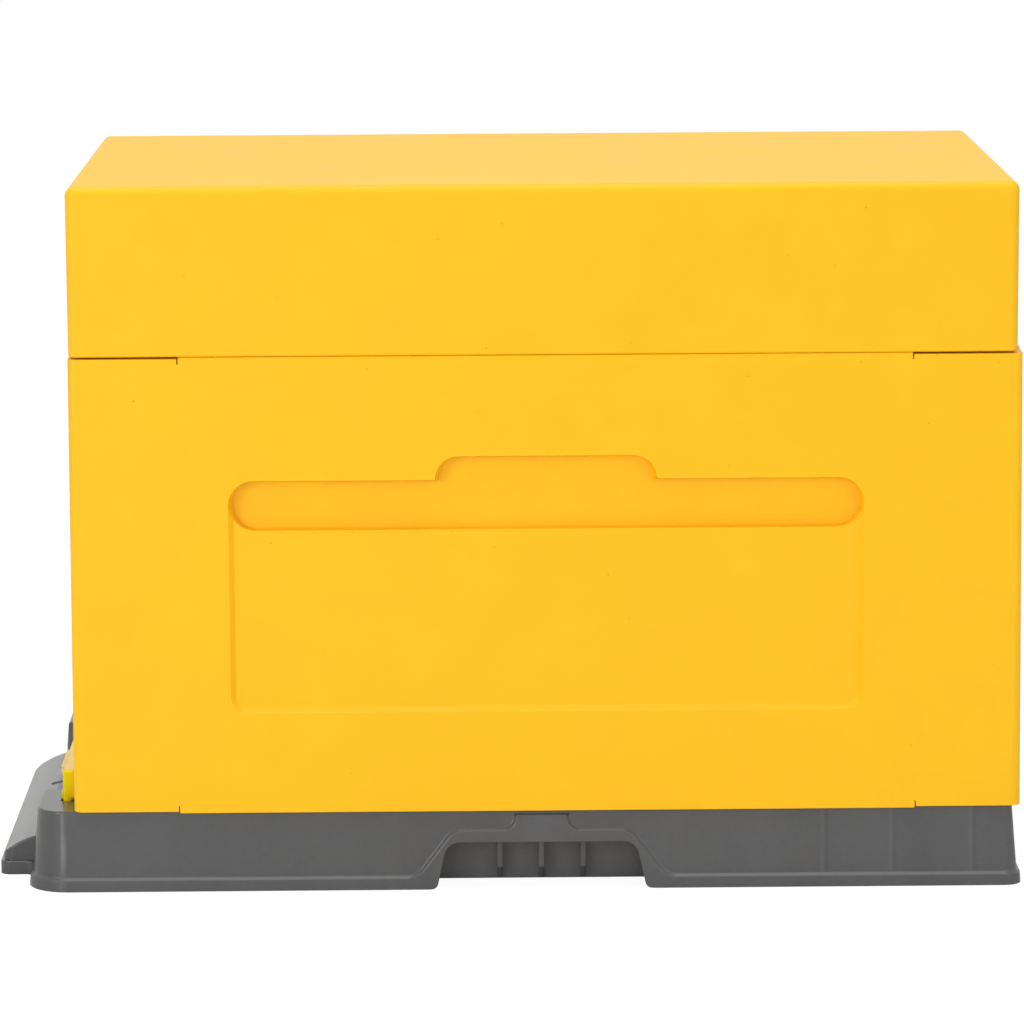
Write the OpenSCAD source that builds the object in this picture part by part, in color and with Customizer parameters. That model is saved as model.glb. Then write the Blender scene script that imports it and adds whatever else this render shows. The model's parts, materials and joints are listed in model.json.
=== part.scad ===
// Nuc box: a small insulated hive for a nucleus colony of bees.
// X runs along the box with the entrance at -X, Y runs across the frames, Z is up from the ground.
// Shapes are laid out about the middle of the box body, and in_row() moves them to the part's own origin.

/* [Frames] */
// Number of frames that hang side by side
frame_count = 6; // [4:1:8]
// Length of a frame over its side bars
frame_l = 448; // [420:1:470]
// Height of a frame
frame_h = 232; // [210:1:300]
// Length of a lug beyond the side bar
lug_l = 17; // [13:0.5:20]
// Depth of a lug
lug_h = 10; // [8:0.5:12]
// Width of a top bar
top_bar_w = 27; // [22:0.5:30]
// Depth of a top bar between the side bars
top_bar_h = 20; // [16:0.5:24]
// Width of a side bar at its shoulder, which spaces the frames
side_bar_w = 35; // [32:0.5:38]
// Width of a side bar below its shoulder
side_bar_low_w = 25; // [20:0.5:28]
// Thickness of a side bar
side_bar_t = 10; // [7:0.5:12]
// Height of a side bar's shoulder
shoulder_h = 78; // [50:1:100]
// Width of a bottom bar
bottom_bar_w = 19; // [14:0.5:22]
// Depth of a bottom bar
bottom_bar_h = 10; // [6:0.5:14]
// Thickness of the wax foundation
foundation_t = 3; // [1.5:0.5:5]

/* [Box body] */
// Thickness of an end wall
end_wall = 37; // [34:1:50]
// Thickness of a side wall
side_wall = 36; // [30:1:50]
// Space between the frames and an end wall
end_space = 9; // [7:0.5:12]
// Space between the outer frames and a side wall
side_space = 6; // [4:0.5:10]
// Bee space between the frames and the crown board
bee_space = 7; // [5:0.5:9]
// Space below the frames, inside the box
bottom_space = 15.5; // [8:0.5:25]
// Radius of the upright corners at the top
body_corner_r = 4; // [2:0.5:8]
// How far the walls lean out from the top to the foot, each side
body_draft = 1.6; // [0.4:0.1:3]

/* [Hand hold panel] */
// Length of the sunk panel on each long side
panel_l = 361; // [281:2:401]
// Height of the panel with its grip
panel_h = 134.5; // [110:0.5:145]
// Distance of the grip below the top edge of the box
panel_drop = 71; // [55:1:80]
// Depth of the flat lower field
panel_depth = 3; // [1:0.5:4]
// Width of the sloping border of the lower field
panel_slope_w = 3; // [1.5:0.5:5]
// Corner radius of the lower field
panel_r = 9; // [4:0.5:12]
// Height of the finger grip
grip_h = 28.5; // [22:0.5:36]
// Depth of the finger grip
grip_depth = 9; // [6:0.5:14]
// Width of the sloping walls of the finger grip
grip_slope_w = 2; // [1:0.5:4]
// Length of the hump above the grip
hump_l = 126; // [90:2:160]
// Height of the hump above the grip
hump_h = 13.5; // [8:0.5:16]

/* [Roof] */
// Height of the roof
roof_h = 96.5; // [85:0.5:130]
// Thickness of the roof above its hollow
roof_top_t = 35; // [25:1:45]
// Radius of the roof's top edges and upright corners
roof_edge_r = 5; // [3:0.5:8]
// How much shorter the roof is than the box at each end
roof_end_inset = 1.6; // [0.4:0.1:5]
// How far the roof sits towards the front within its play
roof_seat = 1.2; // [0:0.1:1.2]
// How far the roof's tongue reaches into the box
tongue_h = 6; // [4:0.5:9]
// Thickness of the roof's tongue
tongue_t = 10; // [7:0.5:12]

/* [Floor] */
// Height of the floor
floor_h = 46; // [45:0.5:60]
// Thickness of the moulded walls
wall_t = 3; // [2:0.25:3.5]
// Inset of the floor's top edge from the foot of the box
floor_inset = 4.2; // [3:0.1:6]
// Lean of the outer walls over their height
draft = 3.8; // [1.5:0.1:5]
// Height of the rim bead
rim_h = 8; // [6:0.5:8]
// How far the rim bead and the band stand proud
rim_proud = 1.8; // [1:0.1:3]
// Distance of the inner skirt from the floor's top edge
skirt_inset = 14.7; // [13.5:0.1:17]
// Thickness of the ventilation grid
grid_t = 3; // [2:0.25:4]
// Width of a grid slot
slot_w = 3.2; // [2.5:0.1:4]
// Length of a grid slot
slot_l = 60; // [40:1:80]
// Height of the inspection tray
tray_h = 8; // [7:0.25:8.5]

/* [Floor hand hold] */
// Place of the hand hold along the box
hold_x = -3.5; // [-30:0.5:30]
// Width of the hand hold at the ground
hold_w = 127; // [110:1:150]
// Width of the hand hold at its top
hold_top_w = 94; // [80:1:110]
// Height of the hand hold
hold_h = 27; // [22:0.5:30]
// Radius of the hand hold's upper corners
hold_r = 9; // [5:0.5:12]
// Radius of the hand hold's lower corners
hold_foot_r = 4; // [2:0.5:6]
// Width of the raised band round the hand hold at the rim bead
band_base_w = 157; // [150:1:180]
// Width of the raised band at its top
band_top_w = 91; // [80:1:110]
// Radius of the raised band's upper corners
band_r = 12; // [8:0.5:14]
// Radius of the hollow curve at the raised band's foot
band_foot_r = 13; // [8:0.5:16]
// Spacing of the three ribs behind the hand hold
rib_pitch = 24; // [18:1:30]

/* [Porch and entrance] */
// How far the porch reaches in front of the box
porch_reach = 22.5; // [20:0.5:30]
// Width of a porch block
porch_block_w = 61; // [50:1:70]
// Corner radius of the porch
porch_r = 18; // [10:0.5:20]
// Corner radius of the porch beside the entrance
porch_end_r = 7; // [5:0.5:9]
// Height of the entrance sill
sill_z = 24.5; // [24:0.5:28]
// Length of the curved landing apron
landing_run = 32; // [24:0.5:40]
// Fall of the landing apron
landing_drop = 11.9; // [9:0.1:14]
// How far the apron is wider than the entrance, each side
landing_over = 19; // [10:0.5:24]

/* [Entrance gate] */
// Thickness of the gate's tongue
gate_t = 5; // [4:0.25:5.5]
// Thickness of the gate's bar
gate_bar_t = 8; // [7:0.25:8.5]
// Height of the bar above the porch
gate_bar_h = 18; // [12:0.5:24]
// How far the gate reaches into a porch block
gate_overlap = 29; // [20:0.5:34]
// Height of the post above the floor
post_h = 23.5; // [16:0.5:30]
// Width of the post
post_w = 24; // [16:1:40]

/* [Feeder] */
// Thickness of the crown board
crown_t = 3; // [2:0.25:4]
// Length of the feeder tub
feeder_l = 230; // [160:2:300]
// Space beside the feeder tub under the roof
feeder_side_gap = 26; // [15:1:30]
// Wall of the feeder tub
feeder_t = 2; // [1.5:0.25:3]
// Bore of the feeder's chimney
chimney_r = 13; // [10:0.5:15]
// Inner radius of the feeder cup
cup_r = 24; // [22:0.5:28]

/* [Hidden] */
$fn = 64;

// Clearances and small shared sizes
overrun = 1;
seat_gap = 0.3;
slide_play = 0.5;
frame_gap = 1;
graze = 0.2;
hull_fn = 32;

// Box body
frame_pitch = side_bar_w + frame_gap;
inner_l = frame_l + 2 * end_space;
inner_w = frame_count * frame_pitch + 2 * side_space;
body_l = inner_l + 2 * end_wall;
body_w = inner_w + 2 * side_wall;
foot_l = body_l + 2 * body_draft;
foot_w = body_w + 2 * body_draft;
top_space = bee_space + crown_t + tongue_h;
body_h = frame_h + top_space + bottom_space;
body_z = floor_h;
body_top = body_z + body_h;
body_lean = atan2(body_draft, body_h);
pry_gap = 1;
pry_depth = 20;
pry_top_l = 62;
pry_bottom_l = 59;
pry_slit = 0.8;
pry_slit_h = 4;
pry_slit_depth = 3;

// Frames and the strips that they hang on
frame_top = body_top - top_space;
frame_bottom = frame_top - frame_h;
top_bar_l = frame_l + 2 * lug_l;
bar_inner_l = frame_l - 2 * side_bar_t;
shoulder_taper = 12;
groove_depth = 3;
groove_play = 0.4;
rest_t = 2;
rest_h = 12;
lug_play = 2.5;
pocket_l = top_bar_l + 2 * (lug_play + rest_t);
ledge_z = frame_top - lug_h - rest_t;

// Crown board and the rebate that holds it
rebate_ledge = 8;
rebate_l = pocket_l + 2 * rebate_ledge;
rebate_w = inner_w + 2 * rebate_ledge;
crown_z = frame_top + bee_space;
crown_top = crown_z + crown_t;
crown_l = rebate_l - 2 * slide_play;
crown_w = rebate_w - 2 * slide_play;
crown_r = 3;

// Roof
roof_z = body_top;
roof_top = roof_z + roof_h;
roof_l = body_l - 2 * roof_end_inset;
roof_w = body_w;
tongue_play = 1.6;
tongue_l = rebate_l - 2 * tongue_play;
tongue_w = rebate_w - 2 * tongue_play;
hollow_l = tongue_l - 2 * tongue_t;
hollow_w = tongue_w - 2 * tongue_t;
hollow_top = roof_top - roof_top_t;

// Floor outline, measured at its top edge
floor_front = -(foot_l / 2 + porch_reach);
floor_rear = foot_l / 2 - floor_inset;
floor_half = foot_w / 2 - floor_inset;
rear_r = 4.5;
deck_t = wall_t;
deck_under = floor_h - deck_t;
skirt_rear = floor_rear - skirt_inset;
skirt_front = -skirt_rear;
skirt_half = floor_half - skirt_inset;
skirt_lift = 1.5;
well_rear = skirt_rear - wall_t;
well_half = skirt_half - wall_t;
grid_ledge_w = 5;
grid_ledge_t = 3;
grid_z = sill_z - grid_t;
rib_t = 3;
rib_depth = 9;
rib_lift = 2.3;
rib_chamfer = 8;

// Ventilation grid
grid_l = 2 * (well_rear - slide_play);
grid_w = 2 * (well_half - slide_play);
grid_border = 12;
slot_gap_x = 6;
slot_gap_y = 5;
slot_columns = floor((grid_l - 2 * grid_border + slot_gap_x) / (slot_l + slot_gap_x));
slot_rows = floor((grid_w - 2 * grid_border + slot_gap_y) / (slot_w + slot_gap_y));

// Inspection tray and its rails
rail_t = 3;
rail_w = 8;
rail_top = rim_h + slide_play + seat_gap;
tray_z = rail_top + seat_gap;
tray_side_play = 2.5;
tray_half = well_half - tray_side_play;
tray_t = 2;
tray_front_gap = 3;
tray_front = -(well_rear - tray_front_gap);
tray_rear = floor_rear;
tray_notch_half = 22;
tray_notch_h = 5;

// Floor hand hold and its band
band_rise = 8;
band_top = hold_h + band_rise;
tab_half = 16;
tab_r = 6.5;
arc_steps = 8;

// Porch, apron and gate
entrance_half = body_w / 2 - porch_block_w;
landing_half = entrance_half + landing_over;
landing_t = wall_t;
gate_gap = 9;
gate_front = -(foot_l / 2 + gate_gap);
gate_half = entrance_half + gate_overlap;
post_gap = 0.5;
post_root_t = 5.1;
post_top_t = 1.7;
post_back = gate_front - post_gap;
landing_gap = 4.3;
landing_root = gate_front - landing_gap;
landing_tip = landing_root - landing_run;
landing_r = (landing_run * landing_run + landing_drop * landing_drop) / (2 * landing_drop);
landing_corner_r = 6;
landing_fillet_r = 6;
pad_w = 19;
pad_y = 34;
pad_run = 15;
pad_proud = 0.6;
landing_rib_shares = [-0.7, -0.28, 0.28, 0.7];
slot_play = 0.6;
lip_t = 1.2;
lip_l = 48;
lip_h = 3.5;
lip_proud = 0.5;
lip_end = 3;
foot_h = 4;
foot_proud = 0.8;
vent_w = 3;
vent_h = 11;
vent_pitch = 10;
vent_lift = 4;
vent_count = floor((2 * entrance_half - post_w) / (2 * vent_pitch)) - 1;

// Feeder
feeder_w = hollow_w - 2 * feeder_side_gap;
feeder_r = 10;
feeder_rim = 4;
feeder_rim_t = 2.5;
feeder_lid_t = 2.5;
feeder_headroom = 15;
feeder_z = crown_top;
feeder_top = hollow_top - feeder_headroom - feeder_lid_t;
feeder_floor = feeder_z + feeder_t;
lid_skirt_h = 7;
lid_skirt_t = 2;
chimney_t = 3;
cup_t = 1.5;
cup_drop = 3;
cup_top = feeder_top - cup_drop;
chimney_headroom = 7;
chimney_top = cup_top - cup_t - chimney_headroom;
cup_notch_w = 8;
cup_notch_h = 5;
cup_notches = 4;
knob_r = 9;
knob_h = 2;

// The part's origin is under the middle of its whole outline
tip_x = landing_tip - rim_proud;
rear_x = floor_rear + draft + rim_proud;
x_shift = -(tip_x + rear_x) / 2;

yellow_foam = [0.99, 0.77, 0.17];
grey_plastic = [0.36, 0.36, 0.37];
lemon_plastic = [0.9, 0.8, 0.15];
pale_wood = [0.86, 0.72, 0.5];
wax = [0.93, 0.76, 0.36];
clear_plastic = [0.85, 0.9, 0.92, 0.5];
white_plastic = [0.93, 0.93, 0.9];
strip_grey = [0.6, 0.6, 0.62];

function frame_node(k, piece) = str("frame_", k, "_", piece);
function frame_y(k) = (k - (frame_count + 1) / 2) * frame_pitch;
// Distance of a long side of the box from the middle plane at a height
function face_y(z) = body_w / 2 + body_draft * (body_top - z) / body_h;
// How far the floor's outer walls stand out at a height
function lean(z) = draft * (1 - z / floor_h);
// Points of an arc in a plane
function arc(x, z, r, from, to) = [
  for (i = [0:arc_steps]) let (a = from + (to - from) * i / arc_steps) [x + r * cos(a), z + r * sin(a)]
];
// Slope of the line between the two arcs of an S-shaped curve
function s_slope(run, rise, r) = atan2(rise - r, run) + asin(r / norm([run, rise - r]));
// S-shaped curve from a level start up to a level end nearer the middle
function s_curve(x0, z0, r0, x1, z1, r1) = let (a = s_slope(x0 - x1, z1 - z0, r0 + r1)) concat(
  arc(x0, z0 + r0, r0, 270, 270 - a),
  arc(x1, z1 - r1, r1, 90 - a, 90)
);
// Closed outline from its right half
function both_sides(right) = concat(right, [for (i = [len(right) - 1:-1:0]) [-right[i][0], right[i][1]]]);

module in_row() {
  translate([x_shift, 0, 0]) children();
}

module block(x0, x1, y0, y1, z0, z1) {
  translate([x0, y0, z0]) cube([x1 - x0, y1 - y0, z1 - z0]);
}

// A block that lies evenly about the middle plane
module mid_block(x0, x1, half_w, z0, z1) {
  block(x0, x1, -half_w, half_w, z0, z1);
}

// Outline drawn in X and Z, made w thick across Y
module across(w) {
  rotate([90, 0, 0]) linear_extrude(height = w, center = true) children();
}

// Outline drawn in Y and Z, made l long along X
module along(l) {
  rotate([90, 0, 90]) linear_extrude(height = l, center = true) children();
}

module rounded_rect(l, w, r) {
  square([l - 2 * r, w], center = true);
  square([l, w - 2 * r], center = true);
  for (sx = [-1, 1], sy = [-1, 1])
    translate([sx * (l / 2 - r), sy * (w / 2 - r)]) circle(r);
}

module plate(l, w, r, z0, z1) {
  translate([0, 0, z0]) linear_extrude(z1 - z0) rounded_rect(l, w, r);
}

module trapezoid(low_w, top_w, z0, z1) {
  polygon([[-low_w / 2, z0], [low_w / 2, z0], [top_w / 2, z1], [-top_w / 2, z1]]);
}

// Plate with round corners that gets smaller towards its top by slope_w on each side
module tapered_plate(l, w, r, h, slope_w) {
  along(l - 2 * r) trapezoid(w, w - 2 * slope_w, 0, h);
  if (w > 2 * r + graze)
    across(w - 2 * r) trapezoid(l, l - 2 * slope_w, 0, h);
  for (sx = [-1, 1], sy = [-1, 1])
    translate([sx * (l / 2 - r), sy * (w / 2 - r), 0]) cylinder(h = h, r1 = r, r2 = r - slope_w);
}

// Block with rounded upright corners and top edges
module soft_top_block(l, w, h, r) {
  plate(l, w, r, 0, h - r);
  mid_block(-l / 2 + r, l / 2 - r, w / 2 - r, 0, h);
  translate([0, 0, h - r]) {
    for (sy = [-1, 1])
      translate([0, sy * (w / 2 - r), 0]) rotate([0, 90, 0]) cylinder(h = l - 2 * r, r = r, center = true);
    for (sx = [-1, 1])
      translate([sx * (l / 2 - r), 0, 0]) rotate([90, 0, 0]) cylinder(h = w - 2 * r, r = r, center = true);
    for (sx = [-1, 1], sy = [-1, 1])
      translate([sx * (l / 2 - r), sy * (w / 2 - r), 0]) sphere(r);
  }
}

// Roof

module roof() {
  color(yellow_foam) translate([-roof_seat, 0, 0]) difference() {
    union() {
      translate([0, 0, roof_z]) soft_top_block(roof_l, roof_w, roof_h, roof_edge_r);
      mid_block(-tongue_l / 2, tongue_l / 2, tongue_w / 2, roof_z - tongue_h + seat_gap, roof_z + overrun);
    }
    mid_block(-hollow_l / 2, hollow_l / 2, hollow_w / 2, roof_z - tongue_h, hollow_top);
  }
}

// Box body

// Recess with sloping walls in both leaning long sides, about a height
module sunk(z_mid, l, h, r, depth, slope_w) {
  flare = slope_w * overrun / depth;
  for (sy = [0, 1])
    mirror([0, sy, 0]) translate([0, -face_y(z_mid), z_mid]) rotate([-90 - body_lean, 0, 0])
      translate([0, 0, -overrun])
        tapered_plate(l + 2 * flare, h + 2 * flare, r + flare, depth + overrun, slope_w + flare);
}

// Shallow field below a finger grip, which has a hump in its upper edge
module hand_hold_panel() {
  grip_top = body_top - panel_drop;
  field_h = panel_h - grip_h / 2 + panel_r;
  sunk(grip_top - panel_h + field_h / 2, panel_l, field_h, panel_r, panel_depth, panel_slope_w);
  sunk(grip_top - grip_h / 2, panel_l, grip_h, grip_h / 2, grip_depth, grip_slope_w);
  sunk(grip_top, hump_l, 2 * hump_h, hump_h, grip_depth, grip_slope_w);
}

// Shallow cuts at the corners of a rim, which leave room for a hive tool
module pry_cuts(z, pry_l) {
  for (sx = [-1, 1], sy = [-1, 1])
    translate([sx * body_l / 2, sy * body_w / 2, z])
      cube([2 * pry_l, 2 * pry_depth, 2 * pry_gap], center = true);
  for (sx = [-1, 1], sy = [-1, 1])
    translate([sx * (body_l / 2 - pry_l), sy * face_y(z), z])
      cube([pry_slit, 2 * pry_slit_depth, 2 * pry_slit_h], center = true);
}

module hive_body() {
  color(yellow_foam) difference() {
    translate([0, 0, body_z])
      tapered_plate(foot_l, foot_w, body_corner_r + body_draft, body_h, body_draft);
    mid_block(-inner_l / 2, inner_l / 2, inner_w / 2, body_z - overrun, body_top + overrun);
    mid_block(-pocket_l / 2, pocket_l / 2, inner_w / 2, ledge_z, body_top + overrun);
    mid_block(-rebate_l / 2, rebate_l / 2, rebate_w / 2, crown_z, body_top + overrun);
    hand_hold_panel();
    pry_cuts(body_top, pry_top_l);
    pry_cuts(body_z, pry_bottom_l);
  }
}

// L-shaped strip along the lug pocket of one end wall
module frame_rest(end) {
  strip_half = inner_w / 2 - slide_play;
  color(strip_grey) mirror([end < 0 ? 1 : 0, 0, 0]) {
    mid_block(inner_l / 2, pocket_l / 2, strip_half, ledge_z, ledge_z + rest_t);
    mid_block(pocket_l / 2 - rest_t, pocket_l / 2, strip_half, ledge_z, ledge_z + rest_h);
  }
}

// Frames

module frame_top_bar(k) {
  groove_w = foundation_t + groove_play;
  under = frame_top - top_bar_h;
  color(pale_wood) translate([0, frame_y(k), 0]) difference() {
    union() {
      mid_block(-top_bar_l / 2, top_bar_l / 2, top_bar_w / 2, frame_top - lug_h, frame_top);
      mid_block(-bar_inner_l / 2, bar_inner_l / 2, top_bar_w / 2, under, frame_top);
    }
    mid_block(-bar_inner_l / 2, bar_inner_l / 2, groove_w / 2, under - overrun, under + groove_depth);
  }
}

module side_bar_outline() {
  shoulder_z = frame_top - shoulder_h;
  taper_z = shoulder_z - shoulder_taper;
  right = [
    [side_bar_low_w / 2, frame_bottom],
    [side_bar_low_w / 2, taper_z],
    [side_bar_w / 2, shoulder_z],
    [side_bar_w / 2, frame_top - lug_h]
  ];
  polygon(both_sides(right));
}

module frame_side_bars(k) {
  color(pale_wood) translate([0, frame_y(k), 0])
    for (sx = [-1, 1])
      translate([sx * (frame_l - side_bar_t) / 2, 0, 0]) along(side_bar_t) side_bar_outline();
}

module frame_bottom_bar(k) {
  color(pale_wood) translate([0, frame_y(k), 0])
    mid_block(-bar_inner_l / 2, bar_inner_l / 2, bottom_bar_w / 2, frame_bottom,
      frame_bottom + bottom_bar_h);
}

module frame_foundation(k) {
  sheet_l = bar_inner_l - 2 * groove_play;
  top = frame_top - top_bar_h + groove_depth - groove_play;
  color(wax) translate([0, frame_y(k), 0])
    mid_block(-sheet_l / 2, sheet_l / 2, foundation_t / 2, frame_bottom + bottom_bar_h, top);
}

// Crown board and feeder

module crown_board() {
  color(clear_plastic) difference() {
    plate(crown_l, crown_w, crown_r, crown_z, crown_top);
    translate([0, 0, crown_z - overrun]) cylinder(h = crown_t + 2 * overrun, r = chimney_r);
  }
}

module feeder_tub() {
  color(white_plastic) difference() {
    union() {
      difference() {
        union() {
          plate(feeder_l, feeder_w, feeder_r, feeder_z, feeder_top);
          plate(feeder_l + 2 * feeder_rim, feeder_w + 2 * feeder_rim, feeder_r + feeder_rim,
            feeder_top - feeder_rim_t, feeder_top);
        }
        plate(feeder_l - 2 * feeder_t, feeder_w - 2 * feeder_t, feeder_r - feeder_t,
          feeder_floor, feeder_top + overrun);
      }
      translate([0, 0, feeder_z]) cylinder(h = chimney_top - feeder_z, r = chimney_r + chimney_t);
    }
    translate([0, 0, feeder_z - overrun]) cylinder(h = chimney_top - feeder_z + 2 * overrun, r = chimney_r);
  }
}

module feeder_cup() {
  color(clear_plastic) difference() {
    translate([0, 0, feeder_floor]) cylinder(h = cup_top - feeder_floor, r = cup_r + cup_t);
    translate([0, 0, feeder_floor - overrun])
      cylinder(h = cup_top - cup_t - feeder_floor + overrun, r = cup_r);
    for (i = [0:cup_notches / 2 - 1])
      translate([0, 0, feeder_floor]) rotate([0, 0, i * 360 / cup_notches])
        cube([2 * (cup_r + cup_t + overrun), cup_notch_w, 2 * cup_notch_h], center = true);
  }
}

module feeder_lid() {
  lid_l = feeder_l + 2 * (feeder_rim + slide_play + lid_skirt_t);
  lid_w = feeder_w + 2 * (feeder_rim + slide_play + lid_skirt_t);
  lid_r = feeder_r + feeder_rim + slide_play + lid_skirt_t;
  lid_top = feeder_top + feeder_lid_t;
  color(clear_plastic) {
    difference() {
      plate(lid_l, lid_w, lid_r, feeder_top - lid_skirt_h, lid_top);
      plate(lid_l - 2 * lid_skirt_t, lid_w - 2 * lid_skirt_t, lid_r - lid_skirt_t,
        feeder_top - lid_skirt_h - overrun, feeder_top);
    }
    translate([0, 0, lid_top]) cylinder(h = knob_h, r = knob_r);
  }
}

// Floor

// Tapered outer form of the floor from z0 to z1, grown outwards
module leaning_block(grow, z0, z1) {
  hull() for (sy = [-1, 1], end = [[floor_front + porch_r, porch_r], [floor_rear - rear_r, rear_r]])
    translate([end[0], sy * (floor_half - end[1]), z0])
      cylinder(h = z1 - z0, r1 = end[1] + grow + lean(z0), r2 = end[1] + grow + lean(z1), $fn = hull_fn);
}

// Landing apron from above, grown outwards
module landing_plan(grow) {
  reach = landing_root - landing_tip;
  translate([landing_root, 0])
    rounded_rect(2 * (reach + grow), 2 * (landing_half + grow), landing_corner_r);
}

// Section of the landing apron and sill, grown upwards
module landing_section(grow) {
  intersection() {
    translate([landing_root, sill_z - landing_r]) circle(landing_r + grow);
    translate([landing_tip - overrun, 0]) square([landing_run + overrun, sill_z + grow]);
  }
  translate([landing_root, 0]) square([skirt_front - landing_root + wall_t, sill_z + grow]);
}

module landing_form(grow) {
  intersection() {
    across(2 * (landing_half + grow)) landing_section(grow);
    union() {
      translate([0, 0, -overrun]) linear_extrude(sill_z + grow + 2 * overrun) landing_plan(grow);
      mid_block(landing_root, skirt_front + wall_t, landing_half + grow, -overrun, sill_z + grow + overrun);
    }
  }
}

// Hollow corners between the bead of the apron and the porch, from above
module landing_fillets() {
  corner_x = floor_front - lean(rim_h) - rim_proud;
  corner_y = landing_half + rim_proud;
  for (sy = [0, 1]) mirror([0, sy]) difference() {
    translate([corner_x - landing_fillet_r, corner_y - overrun])
      square([landing_fillet_r + rim_proud, landing_fillet_r + overrun]);
    translate([corner_x - landing_fillet_r + graze, corner_y + landing_fillet_r - graze])
      circle(landing_fillet_r);
  }
}

// Apron and sill, hollow below, with the pads and ribs that the moulding has
module landing() {
  difference() {
    landing_form(0);
    landing_form(-landing_t);
    translate([0, 0, -overrun]) linear_extrude(overrun + rim_h) landing_plan(-landing_t);
    mid_block(skirt_front, skirt_front + wall_t, landing_half, -overrun, skirt_lift);
  }
  difference() {
    linear_extrude(rim_h) landing_plan(rim_proud);
    translate([0, 0, -overrun]) linear_extrude(rim_h + 2 * overrun) landing_plan(-landing_t);
    mid_block(floor_front, 0, body_w, -overrun, rim_h + overrun);
  }
  linear_extrude(rim_h) landing_fillets();
  for (sy = [-1, 1]) difference() {
    intersection() {
      translate([landing_root - pad_run, sy * pad_y - pad_w / 2, rim_h]) cube([pad_run, pad_w, floor_h]);
      landing_form(pad_proud);
    }
    landing_form(-landing_t);
  }
  for (share = landing_rib_shares) intersection() {
    translate([0, share * landing_half, 0]) across(rib_t) landing_section(-landing_t / 2);
    mid_block(landing_tip + landing_t / 2, skirt_front, landing_half, rib_lift, floor_h);
  }
}

// Cut-out of the hand hold
module hold_outline() {
  polygon(both_sides(concat(
    [[hold_w / 2, -overrun]],
    s_curve(hold_w / 2, 0, hold_foot_r, hold_top_w / 2, hold_h, hold_r)
  )));
}

// Raised band round the hand hold with a tab that runs up to the deck
module band_outline() {
  tab_foot = tab_half + tab_r;
  polygon(both_sides(concat(
    [[band_base_w / 2, rim_h - overrun]],
    s_curve(band_base_w / 2, rim_h, band_foot_r, band_top_w / 2, band_top, band_r),
    arc(tab_foot, band_top + tab_r, tab_r, 270, 180),
    [[tab_half, deck_under]]
  )));
}

// Outer walls and deck as one thin moulding
module outer_tub() {
  difference() {
    union() {
      leaning_block(0, 0, floor_h);
      intersection() {
        leaning_block(rim_proud, 0, floor_h);
        union() {
          mid_block(2 * floor_front, 2 * floor_rear, body_w, 0, rim_h);
          translate([hold_x, 0, 0]) across(2 * body_w) band_outline();
        }
      }
    }
    leaning_block(-wall_t, -overrun, deck_under);
    translate([hold_x, 0, 0]) across(2 * body_w) hold_outline();
    mid_block(-well_rear, well_rear, well_half, deck_under - overrun, floor_h + overrun);
    difference() {
      mid_block(floor_front - porch_reach, -foot_l / 2, entrance_half + porch_end_r, sill_z - landing_t,
        floor_h + overrun);
      porch_ends(0, sill_z - landing_t - overrun, floor_h + 2 * overrun);
    }
  }
}

// Inner skirt round the well, open at the entrance
module skirt() {
  difference() {
    mid_block(skirt_front, skirt_rear, skirt_half, skirt_lift, floor_h);
    mid_block(-well_rear, well_rear, well_half, skirt_lift - overrun, floor_h + overrun);
    mid_block(skirt_front - overrun, -well_rear + overrun, entrance_half, sill_z, deck_under);
  }
  difference() {
    mid_block(skirt_front, skirt_rear, skirt_half, grid_z - grid_ledge_t, grid_z);
    mid_block(-well_rear + grid_ledge_w, well_rear - grid_ledge_w, well_half - grid_ledge_w,
      grid_z - grid_ledge_t - overrun, grid_z + overrun);
  }
  for (sy = [-1, 1])
    translate([0, sy * (well_half + overrun - (rail_w + overrun) / 2), rail_top - rail_t / 2])
      cube([2 * well_rear + 2 * overrun, rail_w + overrun, rail_t], center = true);
}

// Ribs behind each hand hold, cut away at the lower front
module hold_ribs() {
  for (sy = [0, 1], i = [-1:1])
    mirror([0, sy, 0]) translate([hold_x + i * rib_pitch, 0, 0]) along(rib_t) polygon([
      [skirt_half - overrun, rib_lift],
      [skirt_half + rib_depth - rib_chamfer, rib_lift],
      [skirt_half + rib_depth, rib_lift + rib_chamfer],
      [skirt_half + rib_depth, deck_under + overrun],
      [skirt_half - overrun, deck_under + overrun]
    ]);
}

// Ends of the porch beside the entrance, from above, grown outwards
module porch_end_plan(grow) {
  corner_x = floor_front - lean(sill_z) - 2 * graze + porch_end_r;
  corner_y = entrance_half + porch_end_r;
  for (sy = [0, 1]) mirror([0, sy]) {
    translate([corner_x, corner_y]) circle(porch_end_r + grow);
    translate([corner_x, entrance_half - grow])
      square([skirt_front + wall_t - corner_x, 2 * porch_end_r]);
  }
}

module porch_ends(grow, z0, z1) {
  translate([0, 0, z0]) linear_extrude(z1 - z0) porch_end_plan(grow);
}

// Walls on both sides of the entrance, from the porch front to the skirt
module entrance_walls() {
  intersection() {
    difference() {
      porch_ends(0, sill_z - landing_t, floor_h);
      porch_ends(-wall_t, sill_z - landing_t - overrun, deck_under);
    }
    leaning_block(0, 0, floor_h);
    mid_block(2 * floor_front, 0, entrance_half + porch_end_r, 0, floor_h);
  }
}

// Post in front of the gate, thinner towards its top
module gate_post() {
  across(post_w) polygon([
    [post_back - post_root_t, sill_z - landing_t],
    [post_back, sill_z - landing_t],
    [post_back, floor_h + post_h],
    [post_back - post_top_t, floor_h + post_h]
  ]);
}

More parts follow.
